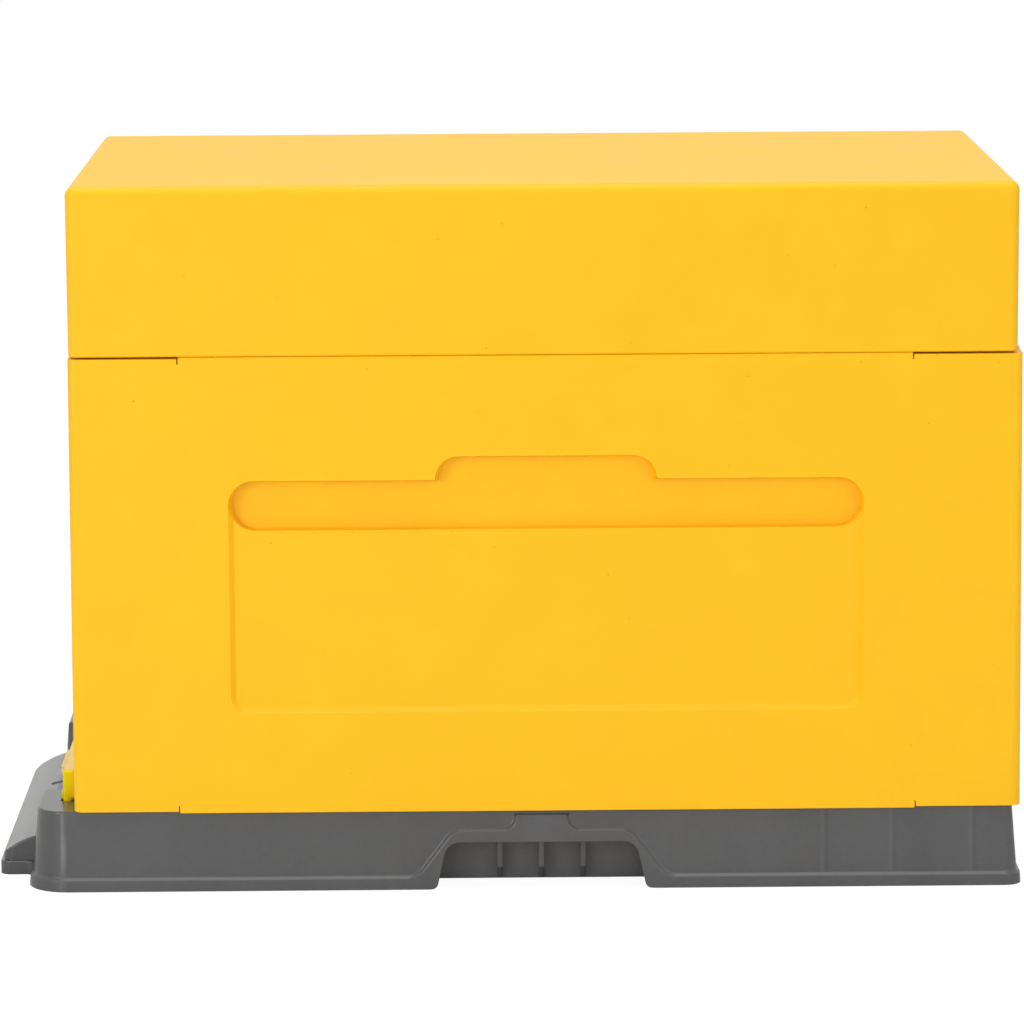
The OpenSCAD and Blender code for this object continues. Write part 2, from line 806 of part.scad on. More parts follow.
module floor_shell() {
  color(grey_plastic) difference() {
    union() {
      outer_tub();
      skirt();
      hold_ribs();
      entrance_walls();
      landing();
      gate_post();
    }
    mid_block(gate_front - slot_play, gate_front + gate_t + slot_play, gate_half + slot_play,
      sill_z, floor_h + overrun);
    mid_block(skirt_rear - wall_t - overrun, rear_x, tray_half + slide_play,
      rim_h + slide_play, tray_z + tray_h + slide_play);
  }
}

module vent_grid() {
  field_l = slot_columns * (slot_l + slot_gap_x) - slot_gap_x;
  field_w = slot_rows * (slot_w + slot_gap_y) - slot_gap_y;
  color(strip_grey) difference() {
    mid_block(-grid_l / 2, grid_l / 2, grid_w / 2, grid_z, sill_z);
    for (i = [0:slot_columns - 1], j = [0:slot_rows - 1])
      translate([
        i * (slot_l + slot_gap_x) - field_l / 2,
        j * (slot_w + slot_gap_y) - field_w / 2,
        grid_z - overrun
      ]) cube([slot_l, slot_w, grid_t + 2 * overrun]);
  }
}

// Shallow drawer with a finger notch in its rear wall
module inspection_tray() {
  tray_top = tray_z + tray_h;
  color(white_plastic) difference() {
    mid_block(tray_front, tray_rear, tray_half, tray_z, tray_top);
    mid_block(tray_front + tray_t, tray_rear - tray_t, tray_half - tray_t, tray_z + tray_t,
      tray_top + overrun);
    mid_block(tray_rear - tray_t - overrun, tray_rear + overrun, tray_notch_half, tray_top - tray_notch_h,
      tray_top + overrun);
  }
}

module entrance_gate() {
  bar_z = floor_h + seat_gap;
  bar_top = floor_h + gate_bar_h;
  lip_y = gate_half - lip_end - lip_l / 2;
  color(lemon_plastic) difference() {
    union() {
      mid_block(gate_front, gate_front + gate_t, gate_half, sill_z + seat_gap, bar_top);
      mid_block(gate_front, gate_front + gate_bar_t, gate_half, bar_z, bar_top);
      for (sy = [-1, 1]) {
        translate([gate_front, sy * lip_y, bar_top - lip_h / 2 + lip_proud])
          cube([2 * lip_t, lip_l, lip_h], center = true);
        translate([gate_front, sy * lip_y, bar_z + foot_h / 2])
          cube([2 * foot_proud, lip_l, foot_h], center = true);
      }
    }
    for (sy = [-1, 1], i = [0:vent_count - 1])
      translate([gate_front, sy * (post_w / 2 + (i + 1) * vent_pitch), sill_z + vent_lift + vent_h / 2])
        cube([2 * (gate_t + overrun), vent_w, vent_h], center = true);
  }
}

in_row() floor_shell();
in_row() vent_grid();
in_row() inspection_tray();
in_row() entrance_gate();
in_row() hive_body();
in_row() frame_rest(-1);  // frame_rest_front
in_row() frame_rest(1);  // frame_rest_rear
for (k = [1:frame_count]) {
  in_row() frame_top_bar(k);
  in_row() frame_side_bars(k);
  in_row() frame_bottom_bar(k);
  in_row() frame_foundation(k);
}
in_row() crown_board();
in_row() feeder_tub();
in_row() feeder_cup();
in_row() feeder_lid();
in_row() roof();
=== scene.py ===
"""Looks of a nuc box: painted foam box and roof on a grey moulded floor, frames and a feeder inside."""

import json
import math

import bmesh
import bpy
from bpy.props import FloatProperty, FloatVectorProperty, PointerProperty
from mathutils import Matrix, Vector


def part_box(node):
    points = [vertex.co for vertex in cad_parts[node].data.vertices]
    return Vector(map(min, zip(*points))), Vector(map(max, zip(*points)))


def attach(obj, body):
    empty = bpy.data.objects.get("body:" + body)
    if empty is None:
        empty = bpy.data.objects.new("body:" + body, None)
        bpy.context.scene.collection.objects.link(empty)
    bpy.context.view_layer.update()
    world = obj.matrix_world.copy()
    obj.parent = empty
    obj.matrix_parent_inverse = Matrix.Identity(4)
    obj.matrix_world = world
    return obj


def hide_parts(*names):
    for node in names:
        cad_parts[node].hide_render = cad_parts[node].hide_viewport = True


bl_info = {
    "name": "Nuc box",
    "version": (1, 0, 0),
    "blender": (4, 5, 0),
    "location": "View3D > Sidebar > Nuc box",
    "description": "Builds the finished pieces of a nuc box around its frame",
    "category": "Object",
}

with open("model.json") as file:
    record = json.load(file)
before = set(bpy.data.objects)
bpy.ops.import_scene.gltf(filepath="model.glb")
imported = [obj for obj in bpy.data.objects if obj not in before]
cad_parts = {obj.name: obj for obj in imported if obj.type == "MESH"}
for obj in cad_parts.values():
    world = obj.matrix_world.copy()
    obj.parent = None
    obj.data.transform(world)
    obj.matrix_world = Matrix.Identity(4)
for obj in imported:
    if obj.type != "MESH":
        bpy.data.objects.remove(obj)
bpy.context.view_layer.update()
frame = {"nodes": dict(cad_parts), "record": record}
MM = 0.001
BODY_OF = {node: body for body, nodes in frame["record"]["behaviour"]["bodies"].items() for node in nodes}
SLOT_OF = {part["node"]: part["material_slot"] for part in frame["record"]["subparts"]}
BAR_NODES = sorted(node for node in frame["nodes"] if SLOT_OF[node] == "frame_wood")
WAX_NODES = sorted(node for node in frame["nodes"] if SLOT_OF[node] == "wax")

# Foam box: sunk panels, finger grip and rims

BOX_LOW, BOX_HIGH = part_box("hive_body")
BOX_X = (BOX_LOW.x + BOX_HIGH.x) / 2
BOX_Y = BOX_HIGH.y
BOX_RIM = 1.2 * MM
WALL_SKIN = 2.5 * MM
FOOT_INSET = 3.0 * MM
PANEL_MARGIN = 30.0 * MM
GRIP_DROP = 85.25 * MM
GRIP_REACH = 15.25 * MM
GRIP_ROOT_SHARE = 0.2
GRIP_SIDE_SHARE = 0.09

# Floor: rim bead, raised band, ribs, landing apron, and the painted highlight and shade of its sink marks

FLOOR_LOW, FLOOR_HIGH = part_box("floor_shell")
FLOOR_LEAN = 3.8 / 46.0
RIM_TOP = 8.0 * MM
RIM_PROUD = 1.8 * MM
TAB_LOW = BOX_LOW.z - 4.0 * MM
DECK_LOW = BOX_LOW.z - 0.3 * MM
POST_LOW = BOX_LOW.z + 0.5 * MM
APRON_BACK = BOX_LOW.x - 23.0 * MM
APRON_HALF = 129.5 * MM
APRON_TOP = 27.0 * MM
PAD_FRONT = FLOOR_LOW.x + 10.0 * MM
PAD_HALF = 50.0 * MM
RIBS_HALF = 40.0 * MM
RIB_OUT = 142.0 * MM
RIB_IN = 134.0 * MM
RIB_TOP = 43.5 * MM
SIDE_Y = FLOOR_HIGH.y - 8.0 * MM
SINK_LINES = (180.8 * MM, 220.2 * MM, 266.0 * MM)
SINK_HALF = 2.0 * MM
SINK_SHIFT = 2.4 * MM
# Gains of the painted highlight and the painted shade beside each sink mark
SINK_PAINTED_HIGHLIGHT = 0.2
SINK_PAINTED_SHADE = -0.12

# Lips of the gate

LIP_PROUD = 0.5 * MM
LIP_TAPER = 6.0 * MM

# Limits of the mesh work

SLACK = 0.05 * MM
WIDE_SLACK = 0.1 * MM
WELD = 0.005 * MM
NEEDLE = 0.02 * MM
SLIVER = 0.2 * MM
FLAT_ANGLE = math.radians(0.3)
CREASE_ANGLE = math.radians(24.0)
SHARP_ANGLE = math.radians(42.0)
FACING_DOWN = -0.9
OVERHANGING = -0.1

# Stage, in metres: place, width and height of each light, and the ground

WHITE = (1.0, 1.0, 1.0)
LIGHTS = {
    "key": ((-1.85, -2.4, 1.0), 0.7, 0.7),
    "fill": ((1.6, -2.5, 1.4), 1.2, 1.2),
    "top": ((0.0, -0.2, 2.6), 1.8, 1.8),
    "strip": ((-1.1, -2.51, 0.15), 0.25, 0.9),
}
AIM_SHARE = 0.7
SENSOR_WIDTH = 36.0
GROUND_HALF = 4.0
GROUND_GREY = (0.85, 0.85, 0.85)
GROUND_GLOW = 1.05
GROUND_GLOW_SHARE = 0.9


def colour_prop(name, description, default):
    return FloatVectorProperty(
        name=name, description=description, default=default, subtype="COLOR", size=3, min=0.0, max=1.0
    )


def length_prop(name, description, default):
    return FloatProperty(
        name=name, description=description, default=default, subtype="DISTANCE", unit="LENGTH", min=0.0
    )


def power_prop(name, description, default):
    return FloatProperty(name=name, description=description, default=default)


class NucFinish(bpy.types.PropertyGroup):
    """Colours and edge sizes of the pieces."""

    foam: colour_prop("Foam paint", "Colour of the painted foam", (0.94, 0.515, 0.006))
    floor_grey: colour_prop("Floor plastic", "Colour of the moulded floor", (0.0715, 0.0737, 0.078))
    gate_lemon: colour_prop("Gate plastic", "Colour of the entrance gate", (0.83, 0.645, 0.003))
    wood: colour_prop("Frame wood", "Colour of the frame bars", (0.62, 0.42, 0.21))
    wax: colour_prop("Wax", "Colour of the foundation sheets", (0.72, 0.44, 0.09))
    clear: colour_prop("Clear plastic", "Tint of the crown board, cup and lid", (0.9, 0.94, 0.95))
    white: colour_prop("White plastic", "Colour of the tray and feeder", (0.78, 0.78, 0.74))
    strip: colour_prop("Strip", "Colour of the frame rests and the grid", (0.16, 0.165, 0.17))
    foam_edge: length_prop("Foam edge", "Rounding of the box's upper and the roof's lower rim", 1.6 * MM)
    foot_edge: length_prop("Foot edge", "Rounding of the box's lower rim", 0.9 * MM)
    foot_drop: length_prop("Foot drop", "How far the box's lower rim hangs over the floor", 0.45 * MM)
    lip_edge: length_prop("Panel lip", "Rounding of the sunk panel's edges", 1.3 * MM)
    grip_edge: length_prop("Grip root", "Rounding at the bottom of the finger grip", 2.4 * MM)
    border_edge: length_prop("Border edge", "Rounding beside the slope of the raised border", 0.4 * MM)
    deck_edge: length_prop("Deck edge", "Rounding of the floor's top edge", 1.4 * MM)
    apron_edge: length_prop("Apron edge", "Rounding of the landing apron", 1.0 * MM)
    moulded_edge: length_prop("Moulded edge", "Rounding of the floor's hand holds, post and pads", 0.5 * MM)
    rib_edge: length_prop("Rib edge", "Rounding of the floor's ribs", 0.25 * MM)
    gate_edge: length_prop("Gate edge", "Rounding of the gate's ends", 2.3 * MM)
    wood_edge: length_prop("Wood edge", "Wear on the edges of the frame bars", 0.8 * MM)
    sheet_edge: length_prop("Sheet edge", "Rounding of thin plastic pieces", 0.4 * MM)


class NucStage(bpy.types.PropertyGroup):
    """Camera and light."""

    camera_place: FloatVectorProperty(
        name="Camera place", description="Where the camera stands", size=3, subtype="XYZ", unit="LENGTH",
        default=(-0.01917, -2.83915, 0.69738),
    )
    camera_yaw: FloatProperty(
        name="Camera yaw", description="Turn of the camera towards +X", subtype="ANGLE", default=0.0084
    )
    camera_pitch: FloatProperty(
        name="Camera pitch", description="How far the camera looks down", subtype="ANGLE", default=0.17582
    )
    camera_roll: FloatProperty(
        name="Camera roll", description="Tilt of the camera about its view", subtype="ANGLE",
        default=-0.00591,
    )
    lens: FloatProperty(name="Lens", description="Focal length in millimetres", default=169.18, min=1.0)
    key_power: power_prop("Key light", "Power of the key light in watts", 18.0)
    fill_power: power_prop("Fill light", "Power of the fill light in watts", 11.0)
    top_power: power_prop("Top light", "Power of the top light in watts", 28.0)
    strip_power: power_prop("Strip light", "Power of the low strip light in watts", 9.0)
    sky: FloatProperty(name="Sky", description="Strength of the surrounding light", default=0.58)


# Nodes of a material

def set_input(tree, node, name, value):
    """Sets a socket to a constant or links another socket to it."""
    socket = node.inputs[name]
    if isinstance(value, bpy.types.NodeSocket):
        tree.links.new(value, socket)
    elif socket.type == "RGBA" and len(value) == 3:
        socket.default_value = (*value, 1.0)
    else:
        socket.default_value = value


def add_node(tree, kind, **inputs):
    """Adds a shader node and sets or links its inputs by name."""
    node = tree.nodes.new(kind)
    for name, value in inputs.items():
        set_input(tree, node, name.replace("_", " "), value)
    return node


def start_material(name, **sockets):
    """A material with the constant sockets of its main shader set."""
    material = bpy.data.materials.new(name)
    material.use_nodes = True
    tree = material.node_tree
    shader = tree.nodes["Principled BSDF"]
    for socket, value in sockets.items():
        set_input(tree, shader, socket.replace("_", " "), value)
    return material, tree, shader


def object_coords(tree, scale=(1.0, 1.0, 1.0)):
    place = tree.nodes.new("ShaderNodeTexCoord").outputs["Object"]
    return add_node(tree, "ShaderNodeMapping", Vector=place, Scale=scale).outputs[0]


def noise(tree, coords, scale, detail=3.0, roughness=0.5):
    node = add_node(
        tree, "ShaderNodeTexNoise", Vector=coords, Scale=scale, Detail=detail, Roughness=roughness
    )
    return node.outputs["Fac"]


def ramp(tree, factor, *stops):
    """Colour ramp from (position, colour) pairs."""
    node = add_node(tree, "ShaderNodeValToRGB", Fac=factor)
    elements = node.color_ramp.elements
    while len(elements) < len(stops):
        elements.new(0.5)
    for element, (position, colour) in zip(elements, stops):
        element.position = position
        element.color = (*colour, 1.0)
    return node.outputs["Color"]


def spread(tree, factor, low, high):
    """Maps a factor of 0 to 1 onto a range."""
    return add_node(tree, "ShaderNodeMapRange", Value=factor, To_Min=low, To_Max=high).outputs[0]


def calc(tree, operation, *values):
    node = tree.nodes.new("ShaderNodeMath")
    node.operation = operation
    for place, value in enumerate(values):
        set_input(tree, node, place, value)
    return node.outputs[0]


def mix_shaders(tree, factor, first, second):
    node = tree.nodes.new("ShaderNodeMixShader")
    for place, value in enumerate((factor, first, second)):
        set_input(tree, node, place, value)
    return node.outputs[0]


def bump(tree, height, strength, distance, under=None):
    node = add_node(tree, "ShaderNodeBump", Height=height, Strength=strength, Distance=distance)
    if under is not None:
        set_input(tree, node, "Normal", under)
    return node.outputs[0]


def shade(colour, factor):
    return tuple(min(1.0, channel * factor) for channel in colour)


def finish_material(name, make):
    """The material of a name, made on first use."""
    return bpy.data.materials.get(name) or make(name, bpy.context.scene.nuc_finish)


# Materials

def foam_paint(name, finish):
    """Matt paint on moulded foam: faint bead pattern, soft mottling and a few specks."""
    material, tree, shader = start_material(name, Specular_IOR_Level=0.26)
    coords = object_coords(tree)
    beads = add_node(tree, "ShaderNodeTexVoronoi", Vector=coords, Scale=230.0).outputs["Distance"]
    mottle = noise(tree, coords, scale=22.0, detail=4.0, roughness=0.6)
    paint = ramp(tree, mottle, (0.3, shade(finish.foam, 0.975)), (0.7, shade(finish.foam, 1.02)))
    specks = noise(tree, coords, scale=430.0, detail=0.0)
    # Small dark specks scattered at random over the paint
    dark_specks = ramp(tree, specks, (0.07, (0.5, 0.36, 0.22)), (0.1, WHITE))
    mix = add_node(tree, "ShaderNodeMixRGB", Fac=0.6, Color1=paint, Color2=dark_specks)
    mix.blend_type = "MULTIPLY"
    set_input(tree, shader, "Base Color", mix.outputs[0])
    set_input(tree, shader, "Roughness", spread(tree, mottle, low=0.4, high=0.52))
    grain = noise(tree, coords, scale=1100.0, detail=2.0)
    fine = bump(tree, grain, strength=0.1, distance=0.12 * MM)
    set_input(tree, shader, "Normal", bump(tree, beads, strength=0.08, distance=0.4 * MM, under=fine))
    return material


def moulded_grey(name, finish):
    """Scuffed grey plastic with upright flow streaks, smoother on the deck and the landing apron, with a
    painted highlight and a painted shade beside three sink marks on the long sides.
    """
    material, tree, shader = start_material(name, Specular_IOR_Level=0.55)
    coords = object_coords(tree)
    streak = noise(tree, object_coords(tree, scale=(26.0, 26.0, 1.2)), scale=1.0)
    cloud = noise(tree, coords, scale=9.0)
    blend = calc(tree, "MULTIPLY", calc(tree, "ADD", streak, cloud), 0.5)
    tint = ramp(tree, blend, (0.36, shade(finish.floor_grey, 0.9)), (0.64, shade(finish.floor_grey, 1.1)))
    grey_scuffed_and_shaded = tree.nodes.new("ShaderNodeVectorMath")
    grey_scuffed_and_shaded.operation = "SCALE"
    set_input(tree, grey_scuffed_and_shaded, 0, tint)
    scuff = spread(tree, noise(tree, coords, scale=240.0, detail=5.0, roughness=0.7), low=0.85, high=1.15)
    # The grey is scaled by real scuffs and by the painted highlight and shade of the sink marks
    set_input(tree, grey_scuffed_and_shaded, "Scale", calc(tree, "ADD", painted_sink_shading(tree, coords), scuff))
    set_input(tree, shader, "Base Color", grey_scuffed_and_shaded.outputs[0])
    polish = spread(tree, trodden_faces(tree, coords), low=1.0, high=0.66)
    rough = spread(tree, streak, low=0.28, high=0.36)
    set_input(tree, shader, "Roughness", calc(tree, "MULTIPLY", rough, polish))
    grain = noise(tree, coords, scale=1500.0, detail=2.0)
    set_input(tree, shader, "Normal", bump(tree, grain, strength=0.16, distance=0.1 * MM))
    return material


def painted_sink_shading(tree, coords):
    """Painted highlight and painted shade on the long sides: a lighter band, and a darker band beside it,
    at each of three faint upright sink marks.
    """
    place = add_node(tree, "ShaderNodeSeparateXYZ", Vector=coords).outputs
    total = 0.0
    for middle in SINK_LINES:
        for line_x, gain in ((middle, SINK_PAINTED_HIGHLIGHT), (middle + SINK_SHIFT, SINK_PAINTED_SHADE)):
            away = calc(tree, "ABSOLUTE", calc(tree, "SUBTRACT", place["X"], line_x))
            line = add_node(
                tree, "ShaderNodeMapRange", Value=away, From_Max=SINK_HALF, To_Min=gain, To_Max=0.0
            )
            line.interpolation_type = "SMOOTHSTEP"
            total = calc(tree, "ADD", line.outputs[0], total)
    on_side = calc(tree, "GREATER_THAN", calc(tree, "ABSOLUTE", place["Y"]), SIDE_Y)
    on_wall = calc(tree, "MULTIPLY", on_side, calc(tree, "GREATER_THAN", place["Z"], RIM_TOP))
    return calc(tree, "MULTIPLY", total, on_wall)


def trodden_faces(tree, coords):
    """1 on the top of the deck and on the landing apron, 0 elsewhere."""
    place = add_node(tree, "ShaderNodeSeparateXYZ", Vector=coords).outputs
    deck = calc(tree, "GREATER_THAN", place["Z"], DECK_LOW)
    ahead = calc(tree, "LESS_THAN", place["X"], APRON_BACK)
    between = calc(tree, "LESS_THAN", calc(tree, "ABSOLUTE", place["Y"]), APRON_HALF)
    return calc(tree, "MAXIMUM", deck, calc(tree, "MULTIPLY", ahead, between))


def lemon_plastic(name, finish):
    """Glossy lemon plastic that lets a little light in."""
    material, tree, shader = start_material(
        name, Specular_IOR_Level=0.5, Specular_Tint=(1.0, 0.8, 0.08), Subsurface_Weight=0.2,
        Subsurface_Radius=(1.0, 0.7, 0.1), Subsurface_Scale=2.0 * MM,
    )
    coords = object_coords(tree)
    cloud = noise(tree, coords, scale=60.0)
    tint = ramp(tree, cloud, (0.3, shade(finish.gate_lemon, 0.95)), (0.7, shade(finish.gate_lemon, 1.05)))
    set_input(tree, shader, "Base Color", tint)
    set_input(tree, shader, "Roughness", spread(tree, cloud, low=0.14, high=0.22))
    grain = noise(tree, coords, scale=500.0, detail=2.0)
    set_input(tree, shader, "Normal", bump(tree, grain, strength=0.06, distance=0.1 * MM))
    return material


def planed_wood(name, finish, grain_scale):
    """Planed wood with its grain along the bar."""
    material, tree, shader = start_material(name, Specular_IOR_Level=0.35)
    coords = object_coords(tree, grain_scale)
    rings = noise(tree, coords, scale=1.0, detail=6.0, roughness=0.62)
    tint = ramp(
        tree, rings, (0.3, shade(finish.wood, 0.72)), (0.48, finish.wood), (0.62, shade(finish.wood, 1.16)),
        (0.75, shade(finish.wood, 0.86)),
    )
    set_input(tree, shader, "Base Color", tint)
    set_input(tree, shader, "Roughness", spread(tree, rings, low=0.55, high=0.75))
    fibres = noise(tree, coords, scale=9.0, detail=2.0)
    set_input(tree, shader, "Normal", bump(tree, fibres, strength=0.25, distance=0.3 * MM))
    return material


def wood_along(name, finish):
    return planed_wood(name, finish, grain_scale=(4.0, 130.0, 130.0))


def wood_upright(name, finish):
    return planed_wood(name, finish, grain_scale=(130.0, 130.0, 4.0))


def cell_wax(name, finish):
    """Wax pressed with six-sided cells, drawn by three crossing waves."""
    material, tree, shader = start_material(
        name, Subsurface_Weight=0.2, Subsurface_Radius=(1.0, 0.6, 0.2), Subsurface_Scale=2.0 * MM
    )
    coords = object_coords(tree)
    cell = 5.4 * MM
    rate = 4.0 * math.pi / (math.sqrt(3.0) * cell)
    waves = []
    for angle in (0.0, 2.0 * math.pi / 3.0, 4.0 * math.pi / 3.0):
        wave = tree.nodes.new("ShaderNodeVectorMath")
        wave.operation = "DOT_PRODUCT"
        set_input(tree, wave, 0, coords)
        set_input(tree, wave, 1, (rate * math.cos(angle), 0.0, rate * math.sin(angle)))
        waves.append(calc(tree, "COSINE", wave.outputs["Value"]))
    cells = calc(tree, "MULTIPLY", calc(tree, "ADD", calc(tree, "ADD", *waves[:2]), waves[2]), -1.0 / 3.0)
    cloud = noise(tree, coords, scale=14.0)
    tint = ramp(tree, cloud, (0.3, shade(finish.wax, 0.86)), (0.7, shade(finish.wax, 1.12)))
    set_input(tree, shader, "Base Color", tint)
    set_input(tree, shader, "Roughness", spread(tree, cloud, low=0.3, high=0.5))
    set_input(tree, shader, "Normal", bump(tree, cells, strength=0.8, distance=1.0 * MM))
    return material


def clear_plastic(name, finish):
    """Clear sheet with a faint haze."""
    material, tree, shader = start_material(name, Transmission_Weight=0.92, IOR=1.5)
    haze = noise(tree, object_coords(tree), scale=30.0)
    tint = ramp(tree, haze, (0.3, shade(finish.clear, 0.96)), (0.7, finish.clear))
    set_input(tree, shader, "Base Color", tint)
    set_input(tree, shader, "Roughness", spread(tree, haze, low=0.03, high=0.1))
    return material


def plain_moulding(name, colour, low_rough, high_rough):
    """Smooth moulded plastic with a fine grain."""
    material, tree, shader = start_material(name)
    coords = object_coords(tree)
    cloud = noise(tree, coords, scale=24.0)
    tint = ramp(tree, cloud, (0.3, shade(colour, 0.95)), (0.7, shade(colour, 1.04)))
    set_input(tree, shader, "Base Color", tint)
    set_input(tree, shader, "Roughness", spread(tree, cloud, low_rough, high_rough))
    grain = noise(tree, coords, scale=900.0, detail=2.0)
    set_input(tree, shader, "Normal", bump(tree, grain, strength=0.1, distance=0.1 * MM))
    return material


def white_moulding(name, finish):
    return plain_moulding(name, finish.white, low_rough=0.28, high_rough=0.4)


def strip_moulding(name, finish):
    return plain_moulding(name, finish.strip, low_rough=0.35, high_rough=0.5)


# Mesh work

def copy_node(node):
    """The node's own shape with its triangles joined into flat faces."""
    mesh = bmesh.new()
    mesh.from_mesh(frame["nodes"][node].data)
    bmesh.ops.remove_doubles(mesh, verts=mesh.verts, dist=WELD)
    bmesh.ops.dissolve_degenerate(mesh, dist=NEEDLE, edges=mesh.edges)
    bmesh.ops.dissolve_limit(mesh, angle_limit=FLAT_ANGLE, verts=mesh.verts, edges=mesh.edges)
    return mesh


def chains(edges):
    """Splits edges into groups that share vertices, in the order of the edges."""
    left = dict.fromkeys(edges)
    groups = []
    while left:
        group = [next(iter(left))]
        del left[group[0]]
        for edge in group:
            linked = (other for vert in edge.verts for other in vert.link_edges)
            near = [other for other in dict.fromkeys(linked) if other in left]
            for other in near:
                del left[other]
            group.extend(near)
        groups.append(group)
    return groups


def round_edges(mesh, *groups, segments=3, free=False):
    """Rounds the creases that pass a test, chain by chain; each group has a width and a test.

    A free rounding keeps its full width beside short edges.
    """
    edges = [e for e in mesh.edges if len(e.link_faces) == 2 and e.calc_face_angle(0.0) > CREASE_ANGLE]
    picked = []
    for width, test in groups:
        taken = dict.fromkeys(e for e in edges if test(e))
        edges = [e for e in edges if e not in taken]
        picked.append((width, chains(taken)))
    for width, found in picked:
        for chain in found:
            bmesh.ops.bevel(
                mesh, geom=[e for e in chain if e.is_valid], offset=width, offset_type="OFFSET",
                segments=segments, profile=0.5, affect="EDGES", clamp_overlap=not free, loop_slide=not free,
                material=-1,
            )


def at_height(edge, height, slack=SLACK):
    return all(abs(vert.co.z - height) < slack for vert in edge.verts)


def is_level(edge):
    return abs(edge.verts[0].co.z - edge.verts[1].co.z) < SLACK


def use_material(node, material):
    data = frame["nodes"][node].data
    data.materials.clear()
    data.materials.append(material)


def add_piece(mesh, node, material):
    """Makes the piece that stands for a node and rides on its body."""
    data = bpy.data.meshes.new(node + "_finish")
    mesh.to_mesh(data)
    mesh.free()
    data.materials.append(material)
    data.polygons.foreach_set("use_smooth", [True] * len(data.polygons))
    data.set_sharp_from_angle(angle=SHARP_ANGLE)
    piece = bpy.data.objects.new(node + "_finish", data)
    bpy.context.scene.collection.objects.link(piece)
    piece.modifiers.new("even_normals", "WEIGHTED_NORMAL").keep_sharp = True
    use_material(node, material)
    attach(piece, BODY_OF[node])
    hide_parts(node)


def soften_node(node, material, width, segments=2):
    """Makes a piece from a node with all its creases rounded alike."""
    mesh = copy_node(node)
    round_edges(mesh, (width, lambda edge: True), segments=segments)
    add_piece(mesh, node, material)


# Pieces

class NUC_OT_roof(bpy.types.Operator):
    """Painted foam roof with its lower rim rounded"""

    bl_idname = "nuc.roof"
    bl_label = "Roof"

    def execute(self, context):
        finish = context.scene.nuc_finish
        mesh = copy_node("roof")
        round_edges(mesh, (finish.foam_edge, lambda e: at_height(e, BOX_HIGH.z) and e.is_convex))
        add_piece(mesh, "roof", finish_material("foam_paint", foam_paint))
        return {"FINISHED"}


class NUC_OT_box(bpy.types.Operator):
    """Painted foam box with soft edges on its sunk panels, and the strips that the frames hang on"""

    bl_idname = "nuc.box"
    bl_label = "Box"

    def execute(self, context):
        finish = context.scene.nuc_finish
        mesh = copy_node("hive_body")
        sunk = self.sunk_depths(mesh)
        deepest = max(sunk.values())
        field = set(sunk)
        lip = {vert for vert in field if sunk[vert] < SLACK}
        root = {vert for vert in field if sunk[vert] > deepest - SLACK}
        self.deepen_grip(sunk, root)
        self.drop_foot(mesh, finish.foot_drop)
        round_edges(
            mesh,
            (finish.lip_edge, lambda e: lip.issuperset(e.verts)),
            (finish.grip_edge, lambda e: root.issuperset(e.verts)),
            (finish.lip_edge, lambda e: field.issuperset(e.verts)),
            (finish.foot_edge, lambda e: at_height(e, BOX_LOW.z, BOX_RIM) and self.outer(e)),
            (finish.foam_edge, lambda e: at_height(e, BOX_HIGH.z, BOX_RIM) and self.outer(e)),
        )
        add_piece(mesh, "hive_body", finish_material("foam_paint", foam_paint))
        for node in ("frame_rest_front", "frame_rest_rear"):
            soften_node(node, finish_material("strip_moulding", strip_moulding), finish.sheet_edge)
        return {"FINISHED"}

    def sunk_depths(self, mesh):
        """Vertices of the sunk panels with their depth under the leaning long sides."""
        top_y = max(abs(v.co.y) for v in mesh.verts if v.co.z > BOX_HIGH.z - SLACK)
        lean = (BOX_Y - top_y) / (BOX_HIGH.z - BOX_LOW.z)
        return {
            v: BOX_Y - lean * (v.co.z - BOX_LOW.z) - abs(v.co.y)
            for v in mesh.verts
            if abs(v.co.x - BOX_X) < BOX_HIGH.x - BOX_X - PANEL_MARGIN
            and BOX_LOW.z + PANEL_MARGIN < v.co.z < BOX_HIGH.z - PANEL_MARGIN
            and abs(v.co.y) > top_y - PANEL_MARGIN
        }

    def deepen_grip(self, sunk, root):
        """Draws the lower side of the finger grip down a little and makes it steep."""
        middle = BOX_HIGH.z - GRIP_DROP
        for vert in sunk:
            below = middle - vert.co.z
            if 0.0 < below < GRIP_REACH:
                vert.co.z -= below * (GRIP_ROOT_SHARE if vert in root else GRIP_SIDE_SHARE)

    def drop_foot(self, mesh, drop):
        """Lets the lower rim hang a little over the edge of the floor."""
        foot = [
            face for face in mesh.faces
            if face.normal.z < FACING_DOWN and all(self.in_foot(vert) for vert in face.verts)
        ]
        bmesh.ops.inset_region(
            mesh, faces=foot, thickness=FOOT_INSET, use_boundary=True, use_even_offset=True
        )
        for vert in mesh.verts:
            if self.in_foot(vert) and (self.on_side(vert) or self.on_end(vert)):
                vert.co.z -= drop

    def in_foot(self, vert):
        return vert.co.z < BOX_LOW.z + BOX_RIM

    def on_side(self, vert):
        return abs(vert.co.y) > BOX_Y - WALL_SKIN

    def on_end(self, vert):
        return not BOX_LOW.x + WALL_SKIN < vert.co.x < BOX_HIGH.x - WALL_SKIN

    def outer(self, edge):
        """True for an edge on the outside of the box."""
        return all(map(self.on_side, edge.verts)) or all(map(self.on_end, edge.verts))


